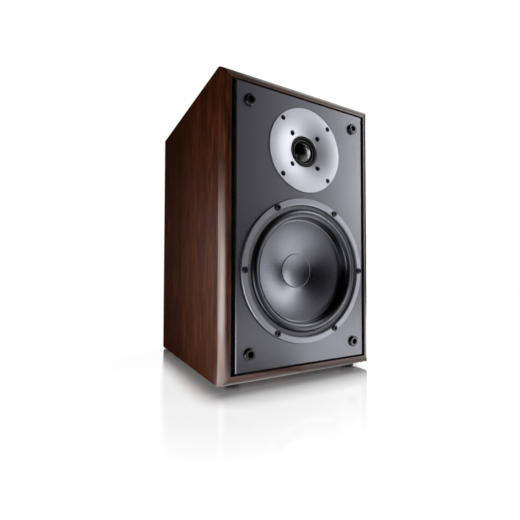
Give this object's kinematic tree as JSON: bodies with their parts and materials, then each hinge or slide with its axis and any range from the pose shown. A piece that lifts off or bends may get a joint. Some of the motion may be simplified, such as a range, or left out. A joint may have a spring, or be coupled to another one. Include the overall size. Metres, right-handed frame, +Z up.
{
  "type": "bookshelf loudspeaker",
  "caption": "Upright veneered bookshelf loudspeaker: a dome tweeter over a cone woofer on a set-in baffle, with a reflex port and a terminal cup in the back.",
  "frame": {"origin": "bottom centre of the bounding box, on the surface that the feet stand on", "axes": "+Z up; the baffle faces -Y, so +X is to the right of someone who looks at the front"},
  "size_m": [0.21, 0.2572, 0.3415],
  "materials": {
    "dark_veneer": "satin dark brown veneer",
    "anthracite_board": "satin anthracite lacquer on fibreboard",
    "raw_board": "raw fibreboard",
    "white_wadding": "soft polyester wadding",
    "black_rubber": "satin black rubber",
    "black_foam": "closed-cell foam",
    "zinc_steel": "zinc-plated steel",
    "black_steel": "black-oxide steel",
    "black_plastic": "matt black moulding",
    "silver_aluminium": "fine satin silver",
    "black_silk": "coated black silk",
    "copper_wire": "copper wire",
    "ferrite": "dark grey ferrite",
    "gold_brass": "gold-plated brass",
    "grey_card": "grey gasket ring",
    "black_casting": "black-painted die casting",
    "grey_cone": "satin grey coated cone",
    "amber_cloth": "varnished corrugated cloth",
    "bare_aluminium": "thin sheet",
    "brown_laminate": "brown phenolic laminate",
    "tinned_steel": "tinned",
    "red_plastic": "gloss red moulding",
    "black_gloss_plastic": "gloss black moulding",
    "green_laminate": "green glass-fibre laminate",
    "pale_nylon": "natural nylon",
    "yellow_film": "wrapped film capacitor",
    "white_ceramic": "cement-filled case",
    "red_insulation": "soft insulation"
  },
  "bodies": {
    "cabinet": {"side_panel_left": "dark_veneer", "side_panel_right": "dark_veneer", "top_panel": "dark_veneer", "bottom_panel": "dark_veneer", "rear_panel": "dark_veneer", "front_baffle": "anthracite_board", "brace_shelf": "raw_board", "upper_wadding": "white_wadding", "lower_wadding": "white_wadding", "feet": "black_rubber", "foot_screws": "zinc_steel", "grille_sockets": "black_plastic", "tweeter_faceplate": "silver_aluminium", "tweeter_screws": "black_steel", "tweeter_motor_screws": "black_steel", "tweeter_coil_frame": "black_plastic", "tweeter_top_plate": "zinc_steel", "tweeter_magnet": "ferrite", "tweeter_yoke": "zinc_steel", "tweeter_tabs": "gold_brass", "woofer_trim_ring": "silver_aluminium", "woofer_screws": "black_steel", "woofer_clamp_ring": "grey_card", "woofer_foam_gasket": "black_foam", "woofer_basket": "black_casting", "woofer_top_plate": "zinc_steel", "woofer_magnet": "ferrite", "woofer_yoke": "zinc_steel", "woofer_rivets": "zinc_steel", "woofer_terminal_strip": "brown_laminate", "woofer_tabs": "gold_brass", "port_tube": "black_plastic", "terminal_cup": "black_plastic", "terminal_screws": "black_steel", "binding_post_studs": "gold_brass", "binding_post_nuts": "gold_brass", "solder_tags": "tinned_steel", "crossover_board": "green_laminate", "crossover_standoffs": "pale_nylon", "crossover_screws": "zinc_steel", "inductor_bobbins": "black_plastic", "inductor_windings": "copper_wire", "capacitors": "yellow_film", "resistor": "white_ceramic", "internal_wires": "red_insulation"},
    "woofer_cone": {"woofer_cone": "grey_cone", "woofer_dust_cap": "grey_cone", "woofer_former": "bare_aluminium", "woofer_winding": "copper_wire", "woofer_surround": "black_rubber", "woofer_spider": "amber_cloth", "woofer_leads": "copper_wire"},
    "tweeter_dome": {"tweeter_dome": "black_silk", "tweeter_voice_coil": "copper_wire", "tweeter_surround": "black_silk"},
    "red_washer": {"red_clamp_washer": "gold_brass"},
    "red_knob": {"red_knob": "red_plastic"},
    "black_washer": {"black_clamp_washer": "gold_brass"},
    "black_knob": {"black_knob": "black_gloss_plastic"}
  },
  "joints": [
    {"name": "woofer_stroke", "type": "slide", "parent": "cabinet", "child": "woofer_cone", "axis": [0, -1, 0], "range_m": [-0.004, 0.004], "stiffness_N_per_m": 1200, "deforming": ["woofer_surround", "woofer_spider", "woofer_leads"]},
    {"name": "tweeter_stroke", "type": "slide", "parent": "cabinet", "child": "tweeter_dome", "axis": [0, -1, 0], "range_m": [-0.0004, 0.0004], "stiffness_N_per_m": 5000, "deforming": ["tweeter_surround"]},
    {"name": "red_washer_slide", "type": "slide", "parent": "cabinet", "child": "red_washer", "axis": [0, 1, 0], "range_m": [0, 0.005]},
    {"name": "red_knob_turn", "type": "hinge", "parent": "red_washer", "child": "red_knob", "pos_m": [0.0095, 0.11275, 0.0975], "axis": [0, 1, 0], "range_deg": [0, 1800]},
    {"name": "black_washer_slide", "type": "slide", "parent": "cabinet", "child": "black_washer", "axis": [0, 1, 0], "range_m": [0, 0.005]},
    {"name": "black_knob_turn", "type": "hinge", "parent": "black_washer", "child": "black_knob", "pos_m": [-0.0095, 0.11275, 0.0975], "axis": [0, 1, 0], "range_deg": [0, 1800]}
  ],
  "couplings": [
    {"joint": "red_knob_turn", "follows": "red_washer_slide", "rad_per_m": 6283.2},
    {"joint": "black_knob_turn", "follows": "black_washer_slide", "rad_per_m": 6283.2}
  ]
}
